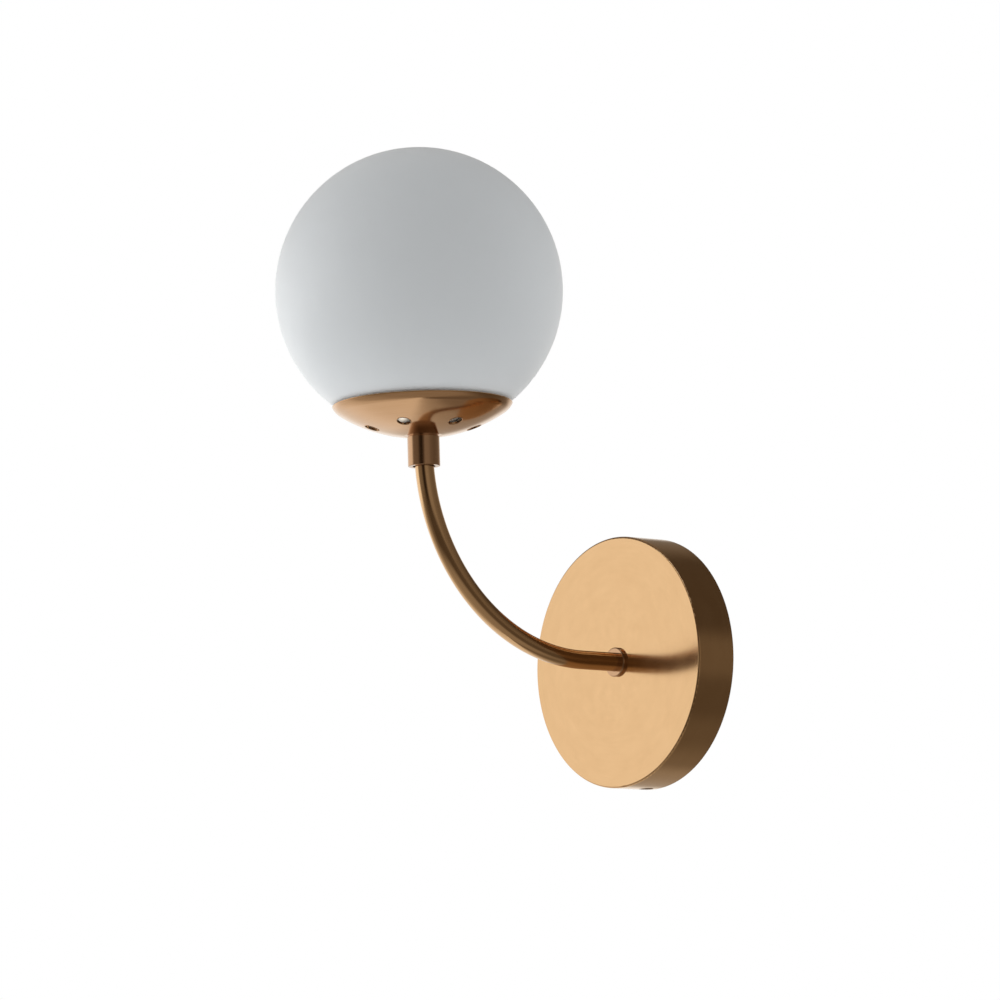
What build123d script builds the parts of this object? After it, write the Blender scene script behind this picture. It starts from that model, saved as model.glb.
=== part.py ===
"""Globe wall sconce: an opal glass ball on a curved tube arm, carried by a round wall cover.

Units are millimetres. The origin is the centre of the wall cover on the wall's surface, +Z is up
and -Y points out of the wall into the room. The arm lies in the plane X = 0.
"""

import os
from math import cos, pi, radians, sin, sqrt

from build123d import *

os.makedirs("parts", exist_ok=True)

# ---------------------------------------------------------------- driving sizes
# Wall cover and the bracket behind it
cover_radius = 66.8
cover_depth = 23.7
cover_wall = 1.2
cover_edge_radius = 1.0
side_screw_from_wall = 6.0
side_hole_radius = 3.8
side_head_radius = 3.4
side_head_height = 1.9
side_shank_radius = 2.0
side_shank_length = 7.0
side_socket_radius = 1.5
side_socket_depth = 1.3
bracket_width = 20.0
bracket_thickness = 1.5
bracket_tab_depth = 12.0
bracket_bend_radius = 2.0
bracket_gap_to_cover = 0.5
boss_wall = 1.2
boss_height = 1.4
ear_corner_radius = 2.0
wall_slot_spacing = 60.0
wall_slot_length = 12.0
wall_slot_radius = 2.25
cable_hole_radius = 6.0

# Curved arm
lamp_reach = 150.5
arm_bend_radius = 103.0
tube_past_bend = 1.0
tube_radius = 5.0
tube_wall = 0.9
tube_past_nut = 2.5
collar_radius = 7.8
collar_thickness = 1.8
collar_front_round = 0.6
grommet_bore_radius = 2.6
grommet_flange = 1.0
grommet_length = 5.0

# Globe, dish and the coupler under it
globe_radius = 75.0
globe_wall = 3.0
mouth_angle = 31.424
rim_angle = 36.87
dish_wall = 1.0
dish_belly = 5.4
dish_arc_rise = 3.376
dish_flat_radius = 10.0
dish_knuckle_width = 3.7
vent_count = 6
vent_ring_radius = 26.8
vent_radius = 3.75
sleeve_radius = 8.4
sleeve_height = 15.6
sleeve_below_bend = 7.0
sleeve_recess_radius = 6.0
sleeve_recess_depth = 4.0
sleeve_edge_radius = 0.3
dish_washer_radius = 7.7
dish_washer_thickness = 0.5
seat_ring_width = 2.4
seat_ring_from_rim = 4.2
rim_edge_radius = 0.35
mouth_edge_radius = 0.8

# Threaded parts: a hollow M10 stem with its nuts and toothed washers
stem_radius = 5.0
stem_bore_radius = 3.8
stem_past_holder = 2.0
stem_chamfer = 0.4
nut_across_flats = 14.0
nut_height = 3.0
nut_corner_turned = 0.35
tooth_washer_radius = 7.4
tooth_washer_thickness = 0.8
tooth_count = 12
tooth_gap_depth = 1.2
tooth_gap_width = 1.3

# Springs that centre the glass in the dish
spider_thickness = 0.6
spring_count = 3
spring_first_angle = 30.0
spring_width = 8.0
spring_height = 8.5
spring_climb_below_mouth = 2.2
spring_bow_above_mouth = 0.6
spring_climb_inset = 3.0
spring_tip_inset = 4.0
spring_bends = (1.0, 2.0, 1.5)

# Lampholder for a small screw cap
holder_radius = 13.5
holder_wall = 1.8
holder_cap_height = 17.6
holder_edge_radius = 2.2
holder_skirt_height = 24.0
contact_block_height = 11.0
contact_block_rise = 2.0
contact_room = 1.4
grip_rib_count = 24
grip_rib_depth = 0.6
grip_rib_share = 0.75
skirt_ring_count = 7
skirt_ring_pitch = 2.0
skirt_ring_depth = 0.45
skirt_ring_from_top = 3.0
block_hole_radius = 1.6
block_hole_from_axis = 6.2
contact_strip = 0.3
contact_width = 4.0
contact_foot_left = 4.5
contact_foot_right = 1.5
contact_top_left = 2.5
shell_inner_radius = 7.15
shell_wall = 0.35
shell_height = 18.5
shell_thread_start = 1.5
shell_swell = 0.55
thread_pitch = 2.82
thread_ring_share = 0.36

# Bulb
bulb_cap_radius = 6.9
bulb_cap_height = 17.6
bulb_thread_depth = 0.6
bulb_thread_start = 0.7
bulb_ball_radius = 22.5
bulb_ball_wall = 1.2
bulb_neck_height = 20.0
bulb_neck_radius = 7.6
bulb_shoulder_radius = 16.0
bulb_button_radius = 2.4
bulb_button_height = 0.9
bulb_insulator_height = 2.2
bulb_insulator_edge = 1.0

# Terminal block and the leads
pole_count = 3
pole_pitch = 8.0
block_width = 17.0
block_height = 11.0
block_step = 7.7
block_corner_radius = 1.0
block_rib_inset = 1.0
block_rib_gap = 1.6
block_screw_radius = 1.5
block_head_radius = 2.6
block_head_height = 1.6
block_from_axis = 16.0
barrel_radius = 2.1
barrel_bore_radius = 1.35
barrel_inset = 1.5
clamp_from_middle = 4.2
clamp_hole_radius = 1.6
clamp_thread_radius = 1.3
clamp_radius = 1.25
clamp_length = 3.6
clamp_slot = (3.0, 0.4, 0.7)
screw_end_from_wall = 0.2
lead_radius = 1.0
lead_spacing = 2.6
lead_bend_radius = 6.0
lead_strip_length = 5.0
earth_lead_bend_radius = 2.5
earth_screw_drop = 18.0
earth_head_radius = 3.5
earth_head_height = 2.4
earth_head_edge = 0.9
earth_cross = (4.6, 0.8, 1.2)
earth_tag_radius = 4.0
earth_tag_thickness = 0.8
earth_neck = (2.6, 6.0, 3.2)
earth_barrel_radius = 1.9
earth_barrel_length = 4.5
earth_barrel_start = 5.2

# Clearances
slip = 0.1
loose = 0.3
glass_gap = 0.3
rim_gap = 1.2

# ---------------------------------------------------------------- derived places
lamp_y = -lamp_reach
cover_bore_radius = tube_radius + slip
cover_inner_face = cover_depth - cover_wall
tube_nut_face = cover_inner_face - tooth_washer_thickness
tube_end_out = tube_nut_face - nut_height - tube_past_nut
arm_bend_start_out = lamp_reach - arm_bend_radius
sleeve_bottom_z = arm_bend_radius - sleeve_below_bend
sleeve_top_z = sleeve_bottom_z + sleeve_height
tube_top_z = arm_bend_radius + tube_past_bend
dish_bottom_z = sleeve_top_z + dish_washer_thickness
dish_floor_z = dish_bottom_z + dish_wall
dish_arc_radius = globe_radius + dish_belly
globe_height = dish_bottom_z + sqrt(dish_arc_radius**2 - dish_flat_radius**2) - dish_arc_rise
rim_drop = globe_radius * cos(radians(rim_angle))
globe_cut_drop = globe_radius * cos(radians(mouth_angle))
rim_z = globe_height - rim_drop
glass_at_rim = sqrt(globe_radius**2 - rim_drop**2)
rim_radius = glass_at_rim + rim_gap + dish_wall
globe_cut_z = globe_height - globe_cut_drop
globe_inner_radius = globe_radius - globe_wall
mouth_radius = sqrt(globe_inner_radius**2 - globe_cut_drop**2)
spider_top_z = dish_floor_z + spider_thickness
bowl_centre_z = globe_height + dish_arc_rise
floor_radius = sqrt((dish_arc_radius - dish_wall) ** 2 - (bowl_centre_z - dish_floor_z) ** 2)
spider_hub_radius = floor_radius - 2 * slip
dish_nut_z = spider_top_z + tooth_washer_thickness
holder_z = dish_nut_z + nut_height
skirt_z = holder_z + holder_cap_height
holder_top_z = skirt_z + holder_skirt_height
block_top_z = skirt_z + contact_block_rise
stem_bottom_z = tube_top_z + loose
stem_top_z = holder_z + holder_wall + stem_past_holder
lead_end_z = block_top_z - contact_block_height
bulb_tip_z = block_top_z + contact_room


# ---------------------------------------------------------------- planes and small helpers
quarter_turn = 90
half_turn = 180


def out_from_wall(distance):
    """Plane parallel to the wall, facing the room: local X is X, local Y is Z."""
    return Plane(origin=(0, -distance, 0), x_dir=(1, 0, 0), z_dir=(0, -1, 0))


def lamp_level(height):
    """Level plane centred on the lamp's upright axis."""
    return Plane(origin=(0, lamp_y, height), x_dir=(1, 0, 0), z_dir=(0, 0, 1))


wall_profile = Plane(origin=(0, 0, 0), x_dir=(1, 0, 0), z_dir=(0, 0, -1))
wall_axis = Axis((0, 0, 0), (0, 1, 0))
lamp_profile = Plane(origin=(0, lamp_y, 0), x_dir=(1, 0, 0), z_dir=(0, -1, 0))
lamp_axis = Axis((0, lamp_y, 0), (0, 0, 1))


def save(built, name):
    """Labels a finished piece and writes it to its own file."""
    built.part.label = name
    export_step(built.part, f"parts/{name}.step")


# ---------------------------------------------------------------- wall cover
def make_wall_cover():
    with BuildPart() as cover:
        with BuildSketch(wall_profile) as shell:
            with BuildLine():
                Polyline(
                    (cover_radius, 0),
                    (cover_radius, cover_depth),
                    (cover_bore_radius, cover_depth),
                    (cover_bore_radius, cover_inner_face),
                    (cover_radius - cover_wall, cover_inner_face),
                    (cover_radius - cover_wall, 0),
                    close=True,
                )
            make_face()
            front_corner = shell.vertices().group_by(Axis.X)[-1].sort_by(Axis.Y)[-1]
            fillet(front_corner, cover_edge_radius)
        revolve(axis=wall_axis)
        with BuildSketch(Plane.XY):
            with Locations((0, -side_screw_from_wall)):
                Circle(side_hole_radius)
        extrude(amount=cover_radius + 1, both=True, mode=Mode.SUBTRACT)
    save(cover, "wall_cover")


# ---------------------------------------------------------------- bracket and side screws
tab_face_z = (
    sqrt((cover_radius - cover_wall) ** 2 - (bracket_width / 2) ** 2)
    - bracket_gap_to_cover
)
boss_radius = side_shank_radius + boss_wall
ear_right = block_from_axis + block_width
ear_height = pole_count * pole_pitch


def tab_plane(up):
    """Plane on the outer face of the bracket's upper (1) or lower (-1) tab, at its screw."""
    return Plane(
        origin=(0, -side_screw_from_wall, up * tab_face_z),
        x_dir=(1, 0, 0),
        z_dir=(0, 0, up),
    )


def make_wall_bracket():
    """Steel strip bent into a tab at each end, with an ear for the terminal block."""
    with BuildPart() as bracket:
        with BuildSketch(Plane.YZ) as side_view:
            with BuildLine():
                Polyline(
                    (-bracket_tab_depth, tab_face_z),
                    (0, tab_face_z),
                    (0, -tab_face_z),
                    (-bracket_tab_depth, -tab_face_z),
                    (-bracket_tab_depth, bracket_thickness - tab_face_z),
                    (-bracket_thickness, bracket_thickness - tab_face_z),
                    (-bracket_thickness, tab_face_z - bracket_thickness),
                    (-bracket_tab_depth, tab_face_z - bracket_thickness),
                    close=True,
                )
            make_face()
            outer_bends = side_view.vertices().group_by(Axis.X)[-1]
            fillet(outer_bends, bracket_bend_radius)
        extrude(amount=bracket_width / 2, both=True)
        with BuildSketch(out_from_wall(0)):
            with Locations((ear_right / 2, 0)):
                RectangleRounded(ear_right, ear_height, ear_corner_radius)
        extrude(amount=bracket_thickness)
        with BuildSketch(out_from_wall(0)):
            with Locations((0, wall_slot_spacing / 2), (0, -wall_slot_spacing / 2)):
                SlotOverall(wall_slot_length, 2 * wall_slot_radius, rotation=quarter_turn)
            Circle(cable_hole_radius)
            with Locations((0, -earth_screw_drop)):
                Circle(side_shank_radius + slip / 2)
            with Locations((block_from_axis + block_width / 2, pole_pitch / 2)):
                Circle(block_screw_radius + slip / 2)
        extrude(amount=bracket_thickness, mode=Mode.SUBTRACT)
        for up in (1, -1):
            with BuildSketch(tab_plane(up)):
                Circle(boss_radius)
            extrude(amount=-bracket_thickness - boss_height)
        with BuildSketch(Plane.XY):
            with Locations((0, -side_screw_from_wall)):
                Circle(side_shank_radius + slip / 2)
        extrude(amount=cover_radius, both=True, mode=Mode.SUBTRACT)
    save(bracket, "wall_bracket")


def make_side_screws():
    """Two screws through the bracket's tabs: each head sits in the cover's side hole."""
    with BuildPart() as screws:
        for up in (1, -1):
            seat = tab_plane(up)
            with BuildSketch(seat):
                Circle(side_head_radius)
            extrude(amount=side_head_height)
            with BuildSketch(seat):
                Circle(side_shank_radius)
            extrude(amount=-side_shank_length)
            with BuildSketch(seat.offset(side_head_height)):
                RegularPolygon(side_socket_radius, 6)
            extrude(amount=-side_socket_depth, mode=Mode.SUBTRACT)
    save(screws, "side_screws")


# ---------------------------------------------------------------- arm
def make_arm_tube():
    with BuildPart() as tube:
        with BuildLine(Plane.YZ):
            straight = Line((-tube_end_out, 0), (-arm_bend_start_out, 0))
            bend = JernArc(
                start=straight @ 1,
                tangent=straight % 1,
                radius=arm_bend_radius,
                arc_size=-quarter_turn,
            )
            Line(bend @ 1, (lamp_y, tube_top_z))
        with BuildSketch(out_from_wall(tube_end_out)):
            Circle(tube_radius)
            Circle(tube_radius - tube_wall, mode=Mode.SUBTRACT)
        sweep()
    save(tube, "arm_tube")


def make_wall_collar():
    """Turned ring that covers the hole where the arm leaves the wall cover."""
    with BuildPart() as collar:
        with BuildSketch(out_from_wall(cover_depth)):
            Circle(collar_radius)
            Circle(tube_radius + slip / 2, mode=Mode.SUBTRACT)
        extrude(amount=collar_thickness)
        front = collar.faces().sort_by(Axis.Y)[0]
        fillet(front.outer_wire().edges(), collar_front_round)
    save(collar, "wall_collar")


def make_hex_nut(plane, name, bore_radius):
    """Hexagon nut with its corners turned off on both faces."""
    corner = nut_across_flats / sqrt(3)
    with BuildPart() as nut:
        with BuildSketch(plane):
            RegularPolygon(nut_across_flats / 2, 6, major_radius=False)
            Circle(bore_radius, mode=Mode.SUBTRACT)
        extrude(amount=nut_height)
        with BuildSketch(plane):
            Circle(corner - nut_corner_turned)
        extrude(amount=nut_height, mode=Mode.INTERSECT)
    save(nut, name)


def make_tooth_washer(plane, name, bore_radius):
    """Lock washer with a ring of teeth on its outer edge."""
    with BuildPart() as washer:
        with BuildSketch(plane):
            Circle(tooth_washer_radius)
            Circle(bore_radius, mode=Mode.SUBTRACT)
            with PolarLocations(tooth_washer_radius, tooth_count):
                Rectangle(2 * tooth_gap_depth, tooth_gap_width, mode=Mode.SUBTRACT)
        extrude(amount=tooth_washer_thickness)
    save(washer, name)


def make_tube_grommet():
    """Nylon bush that keeps the leads off the tube's cut end."""
    flange_out = tube_end_out - grommet_flange
    neck_radius = tube_radius - tube_wall - slip / 2
    neck_out = tube_end_out + grommet_length
    with BuildPart() as grommet:
        with BuildSketch(wall_profile):
            with BuildLine():
                Polyline(
                    (grommet_bore_radius, flange_out),
                    (tube_radius, flange_out),
                    (tube_radius, tube_end_out),
                    (neck_radius, tube_end_out),
                    (neck_radius, neck_out),
                    (grommet_bore_radius, neck_out),
                    close=True,
                )
            make_face()
        revolve(axis=wall_axis)
    save(grommet, "tube_grommet")


# ---------------------------------------------------------------- coupler and dish
def make_coupler_sleeve():
    """Short sleeve that screws the arm's end and the hollow stem together."""
    with BuildPart() as sleeve:
        with BuildSketch(lamp_level(sleeve_bottom_z)):
            Circle(sleeve_radius)
            Circle(tube_radius + slip, mode=Mode.SUBTRACT)
        extrude(amount=sleeve_height)
        with BuildSketch(lamp_level(sleeve_bottom_z)):
            Circle(sleeve_recess_radius)
        extrude(amount=sleeve_recess_depth, mode=Mode.SUBTRACT)
        with BuildSketch(lamp_level(sleeve_top_z)):
            Circle(stem_radius + slip / 2)
        extrude(amount=tube_top_z - sleeve_top_z, mode=Mode.SUBTRACT)
        outer = sleeve.edges().filter_by(GeomType.CIRCLE).sort_by(SortBy.RADIUS)[-2:]
        fillet(outer, sleeve_edge_radius)
    save(sleeve, "coupler_sleeve")


def make_dish_washer():
    with BuildPart() as washer:
        with BuildSketch(lamp_level(sleeve_top_z)):
            Circle(dish_washer_radius)
            Circle(stem_radius + slip, mode=Mode.SUBTRACT)
        extrude(amount=dish_washer_thickness)
    save(washer, "dish_washer")


def bowl_outline(inset):
    """The dish's section from its flat floor to its rim, inset by a wall, as (radius, height)."""
    radius = dish_arc_radius - inset
    centre = globe_height + dish_arc_rise
    floor_z = dish_bottom_z + inset
    flat_end = sqrt(radius**2 - (centre - floor_z) ** 2)
    knee = (rim_radius - dish_knuckle_width) * radius / dish_arc_radius
    knee_z = centre - sqrt(radius**2 - knee**2)
    middle = (flat_end + knee) / 2
    middle_z = centre - sqrt(radius**2 - middle**2)
    along = (sqrt(radius**2 - knee**2), knee)
    floor = Line((0, floor_z), (flat_end, floor_z))
    bowl = ThreePointArc((flat_end, floor_z), (middle, middle_z), (knee, knee_z))
    knuckle = TangentArc((knee, knee_z), (rim_radius - inset, rim_z), tangent=along)
    return floor, bowl, knuckle


def make_globe_dish():
    """Spun bowl under the globe, with a ring of vent holes."""
    with BuildPart() as dish:
        for inset, mode in ((0.0, Mode.ADD), (dish_wall, Mode.SUBTRACT)):
            with BuildSketch(lamp_profile):
                with BuildLine():
                    bowl_outline(inset)
                    Polyline(
                        (rim_radius - inset, rim_z),
                        (0, rim_z),
                        (0, dish_bottom_z + inset),
                    )
                make_face()
            revolve(axis=lamp_axis, mode=mode)
        with BuildSketch(lamp_level(dish_bottom_z)):
            Circle(stem_radius + slip)
            with PolarLocations(vent_ring_radius, vent_count):
                Circle(vent_radius)
        extrude(amount=rim_z - dish_bottom_z, mode=Mode.SUBTRACT)
        fillet(dish.edges().group_by(Axis.Z)[-1], rim_edge_radius)
    save(dish, "globe_dish")


def make_globe_seat_ring():
    """Silicone ring in the gap between the dish and the glass."""
    outer = rim_radius - seat_ring_from_rim
    inner = outer - seat_ring_width
    low, high = dish_bottom_z, rim_z
    with BuildPart() as ring:
        with BuildSketch(lamp_profile):
            with BuildLine():
                Polyline((inner, low), (outer, low), (outer, high), (inner, high), close=True)
            make_face()
        revolve(axis=lamp_axis)
        with BuildSketch(lamp_profile):
            with BuildLine():
                bowl_outline(dish_wall)
                Polyline(
                    (rim_radius - dish_wall, rim_z),
                    (0, rim_z),
                    (0, dish_floor_z),
                )
            make_face()
        revolve(axis=lamp_axis, mode=Mode.INTERSECT)
        with Locations((0, lamp_y, globe_height)):
            Sphere(globe_radius + glass_gap, mode=Mode.SUBTRACT)
    save(ring, "globe_seat_ring")


def make_threaded_stem():
    with BuildPart() as stem:
        with BuildSketch(lamp_level(stem_bottom_z)):
            Circle(stem_radius)
            Circle(stem_bore_radius, mode=Mode.SUBTRACT)
        extrude(amount=stem_top_z - stem_bottom_z)
        outer = stem.edges().filter_by(GeomType.CIRCLE).sort_by(SortBy.RADIUS)[-2:]
        chamfer(outer, stem_chamfer)
    save(stem, "threaded_stem")


def make_spring_spider():
    """Spring-steel plate: three arms climb the dish, bow out to the glass and curl back."""
    tip_reach = mouth_radius - loose
    hub_edge = sqrt(spider_hub_radius**2 - (spring_width / 2) ** 2)
    foot = hub_edge - spring_width / 4
    climb_end = tip_reach - spring_climb_inset
    climb_z = globe_cut_z - spring_climb_below_mouth
    bow_z = globe_cut_z + spring_bow_above_mouth
    top_z = climb_z + spring_height
    with BuildPart() as spider:
        with BuildSketch(lamp_level(dish_floor_z)):
            Circle(spider_hub_radius)
        extrude(amount=spider_thickness)
        with BuildSketch(lamp_profile) as arm_section:
            with BuildLine():
                FilletPolyline(
                    (foot, dish_floor_z + spider_thickness / 2),
                    (hub_edge, dish_floor_z + spider_thickness / 2),
                    (climb_end, climb_z),
                    (tip_reach - spider_thickness, bow_z),
                    (tip_reach - spring_tip_inset, top_z),
                    radius=spring_bends,
                )
            trace(line_width=spider_thickness)
        extrude(amount=spring_width / 2, both=True)
        one_arm = spider.part
    with BuildPart() as whole:
        for turn in range(spring_count):
            angle = spring_first_angle + turn * 360 / spring_count
            add(one_arm.rotate(lamp_axis, angle))
        with BuildSketch(lamp_level(dish_floor_z)):
            Circle(stem_radius + slip)
        extrude(amount=spider_thickness, mode=Mode.SUBTRACT)
    save(whole, "spring_spider")


# ---------------------------------------------------------------- globe
def make_globe_glass():
    """Blown opal ball, cut and ground flat where it sits in the dish."""
    outer_cut = sqrt(globe_radius**2 - globe_cut_drop**2)
    top_z = globe_height + globe_radius
    with BuildPart() as globe:
        with BuildSketch(lamp_profile) as section:
            with BuildLine():
                ThreePointArc(
                    (outer_cut, globe_cut_z),
                    (globe_radius, globe_height),
                    (0, top_z),
                )
                Line((0, top_z), (0, top_z - globe_wall))
                ThreePointArc(
                    (0, top_z - globe_wall),
                    (globe_inner_radius, globe_height),
                    (mouth_radius, globe_cut_z),
                )
                Line((mouth_radius, globe_cut_z), (outer_cut, globe_cut_z))
            make_face()
            fillet(section.vertices().group_by(Axis.Y)[0], mouth_edge_radius)
        revolve(axis=lamp_axis)
    save(globe, "globe_glass")


# ---------------------------------------------------------------- lampholder
holder_bore_radius = holder_radius - holder_wall


def make_lampholder_cap():
    """Cup screwed on the stem, with grip ribs round its upper part."""
    with BuildPart() as cap:
        with BuildSketch(lamp_profile) as section:
            with BuildLine():
                Polyline(
                    (stem_radius + slip / 2, holder_z),
                    (holder_radius, holder_z),
                    (holder_radius, skirt_z),
                    (holder_bore_radius, skirt_z),
                    (holder_bore_radius, holder_z + holder_wall),
                    (stem_radius + slip / 2, holder_z + holder_wall),
                    close=True,
                )
            make_face()
            corner = section.vertices().group_by(Axis.Y)[0].sort_by(Axis.X)[-1]
            fillet(corner, holder_edge_radius)
        revolve(axis=lamp_axis)
        with BuildSketch(lamp_level(skirt_z)):
            with PolarLocations(holder_radius, grip_rib_count):
                Circle(grip_rib_depth)
            Circle(holder_radius - holder_wall / 2, mode=Mode.SUBTRACT)
        extrude(amount=-holder_cap_height * grip_rib_share)
    save(cap, "lampholder_cap")


def make_lampholder_skirt():
    """Tube round the screw shell, with grooves near its top."""
    with BuildPart() as skirt:
        with BuildSketch(lamp_level(skirt_z)):
            Circle(holder_radius)
            Circle(holder_bore_radius, mode=Mode.SUBTRACT)
        extrude(amount=holder_skirt_height)
        for ring in range(skirt_ring_count):
            groove_z = holder_top_z - skirt_ring_from_top - ring * skirt_ring_pitch
            with BuildSketch(lamp_level(groove_z)):
                Circle(holder_radius + skirt_ring_depth)
                Circle(holder_radius - skirt_ring_depth, mode=Mode.SUBTRACT)
            extrude(amount=skirt_ring_pitch / 2, mode=Mode.SUBTRACT)
    save(skirt, "lampholder_skirt")


def make_contact_block():
    """Ceramic disc that carries the contacts, with two holes for the wiring."""
    with BuildPart() as block:
        with BuildSketch(lamp_level(block_top_z)):
            Circle(holder_bore_radius - slip)
        extrude(amount=-contact_block_height)
        with BuildSketch(lamp_level(block_top_z)):
            with Locations((block_hole_from_axis, 0), (-block_hole_from_axis, 0)):
                Circle(block_hole_radius)
        extrude(amount=-contact_block_height, mode=Mode.SUBTRACT)
    save(block, "contact_block")


def make_screw_shell():
    """Thin brass shell with a rolled thread, open at the top."""
    waves = int((shell_height - shell_thread_start) / thread_pitch)
    with BuildPart() as shell:
        with BuildSketch(lamp_level(block_top_z)):
            Circle(shell_inner_radius + shell_wall)
            Circle(shell_inner_radius, mode=Mode.SUBTRACT)
        extrude(amount=shell_height)
        for wave in range(waves):
            ring_z = block_top_z + shell_thread_start + (wave + 0.5) * thread_pitch
            with BuildSketch(lamp_profile):
                with Locations((shell_inner_radius + shell_wall, ring_z)):
                    Ellipse(shell_swell, thread_pitch * thread_ring_share)
            revolve(axis=lamp_axis)
        with BuildSketch(lamp_level(block_top_z)):
            Circle(shell_inner_radius)
        extrude(amount=shell_height, mode=Mode.SUBTRACT)
    save(shell, "screw_shell")


def make_centre_contact():
    """Bent spring tongue that the bulb's button presses on."""
    low = block_top_z + slip + contact_strip / 2
    high = bulb_tip_z - 2 * slip - contact_strip / 2
    with BuildPart() as contact:
        with BuildSketch(lamp_profile):
            with BuildLine():
                foot = Line((-contact_foot_left, low), (contact_foot_right, low))
                fold = JernArc(
                    start=foot @ 1,
                    tangent=foot % 1,
                    radius=(high - low) / 2,
                    arc_size=half_turn,
                )
                Line(fold @ 1, (-contact_top_left, high))
            trace(line_width=contact_strip)
        extrude(amount=contact_width / 2, both=True)
    save(contact, "centre_contact")


# ---------------------------------------------------------------- bulb
button_top_z = bulb_tip_z + bulb_button_height
cap_bottom_z = button_top_z + bulb_insulator_height
cap_top_z = cap_bottom_z + bulb_cap_height
neck_top_z = cap_top_z + bulb_neck_height
ball_z = neck_top_z + sqrt(bulb_ball_radius**2 - bulb_shoulder_radius**2)


def make_bulb_foot():
    """The bulb's contact button and the glass insulator round it."""
    with BuildPart() as button:
        with BuildSketch(lamp_level(bulb_tip_z)):
            Circle(bulb_button_radius)
        extrude(amount=bulb_button_height)
        fillet(button.edges().group_by(Axis.Z)[0], bulb_button_height * 0.6)
    save(button, "bulb_button")

    with BuildPart() as insulator:
        with BuildSketch(lamp_level(button_top_z)):
            Circle(bulb_button_radius + bulb_insulator_edge)
        with BuildSketch(lamp_level(cap_bottom_z)):
            Circle(bulb_cap_radius - bulb_insulator_edge)
        loft()
    save(insulator, "bulb_insulator")


def make_bulb_cap():
    """Screw cap, its thread drawn as rings."""
    rings = int(bulb_cap_height / thread_pitch) - 1
    with BuildPart() as cap:
        with BuildSketch(lamp_level(cap_bottom_z)):
            Circle(bulb_cap_radius - bulb_thread_depth)
        extrude(amount=bulb_cap_height)
        for ring in range(rings):
            ring_z = cap_bottom_z + (ring + bulb_thread_start) * thread_pitch
            with BuildSketch(lamp_profile):
                with Locations((bulb_cap_radius - bulb_thread_depth, ring_z)):
                    Ellipse(bulb_thread_depth, thread_pitch * thread_ring_share)
            revolve(axis=lamp_axis)
    save(cap, "bulb_cap")


def make_bulb_housing():
    """Flared housing between the cap and the ball."""
    with BuildPart() as neck:
        with BuildSketch(lamp_profile):
            with BuildLine():
                foot = Line((0, cap_top_z), (bulb_neck_radius, cap_top_z))
                Bezier(
                    foot @ 1,
                    (bulb_neck_radius + 1, cap_top_z + bulb_neck_height * 0.45),
                    (bulb_shoulder_radius - 1, cap_top_z + bulb_neck_height * 0.6),
                    (bulb_shoulder_radius, neck_top_z),
                )
                Polyline((bulb_shoulder_radius, neck_top_z), (0, neck_top_z), foot @ 0)
            make_face()
        revolve(axis=lamp_axis)
    save(neck, "bulb_housing")


def make_bulb_ball():
    with BuildPart() as ball:
        with Locations((0, lamp_y, ball_z)):
            Sphere(bulb_ball_radius)
            Sphere(bulb_ball_radius - bulb_ball_wall, mode=Mode.SUBTRACT)
        split(bisect_by=lamp_level(neck_top_z), keep=Keep.TOP)
    save(ball, "bulb_ball")


# ---------------------------------------------------------------- terminal block
pole_heights = [pole_pitch * (pole_count - 1) / 2 - pole * pole_pitch for pole in range(pole_count)]
block_step_out = bracket_thickness + block_step
barrel_out = bracket_thickness + block_height / 2
block_middle_x = block_from_axis + block_width / 2
block_screw_height = pole_pitch / 2
clamp_foot_out = barrel_out + lead_radius + slip / 2
clamp_top_out = clamp_foot_out + clamp_length


def clamp_places(height):
    """The two clamping screws of one pole, as (x, height)."""
    return [(block_middle_x + side * clamp_from_middle, height) for side in (1, -1)]


def make_terminal_block():
    """Three-way pillar terminal strip with a rib for each pole."""
    with BuildPart() as block:
        with BuildSketch(out_from_wall(bracket_thickness)):
            with Locations((block_middle_x, 0)):
                RectangleRounded(block_width, pole_count * pole_pitch, block_corner_radius)
        extrude(amount=block_step)
        for height in pole_heights:
            with BuildSketch(out_from_wall(bracket_thickness)):
                with Locations((block_middle_x, height)):
                    RectangleRounded(
                        block_width - 2 * block_rib_inset,
                        pole_pitch - block_rib_gap,
                        block_corner_radius,
                    )
            extrude(amount=block_height)
            with BuildSketch(Plane.YZ.offset(block_from_axis)):
                with Locations((-barrel_out, height)):
                    Circle(barrel_radius)
            extrude(amount=block_width, mode=Mode.SUBTRACT)
            with BuildSketch(out_from_wall(barrel_out)):
                with Locations(*clamp_places(height)):
                    Circle(clamp_hole_radius)
            extrude(amount=block_height, mode=Mode.SUBTRACT)
        for radius, start in (
            (block_screw_radius + slip, bracket_thickness),
            (block_head_radius + slip, block_step_out),
        ):
            with BuildSketch(out_from_wall(start)):
                with Locations((block_middle_x, block_screw_height)):
                    Circle(radius)
            extrude(amount=block_height, mode=Mode.SUBTRACT)
    save(block, "terminal_block")


def make_terminal_barrels():
    with BuildPart() as barrels:
        for height in pole_heights:
            with BuildSketch(Plane.YZ.offset(block_from_axis + barrel_inset)):
                with Locations((-barrel_out, height)):
                    Circle(barrel_radius - slip / 2)
                    Circle(barrel_bore_radius, mode=Mode.SUBTRACT)
            extrude(amount=block_width - 2 * barrel_inset)
            with BuildSketch(out_from_wall(barrel_out)):
                with Locations(*clamp_places(height)):
                    Circle(clamp_thread_radius)
            extrude(amount=2 * barrel_radius, mode=Mode.SUBTRACT)
    save(barrels, "terminal_barrels")


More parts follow.
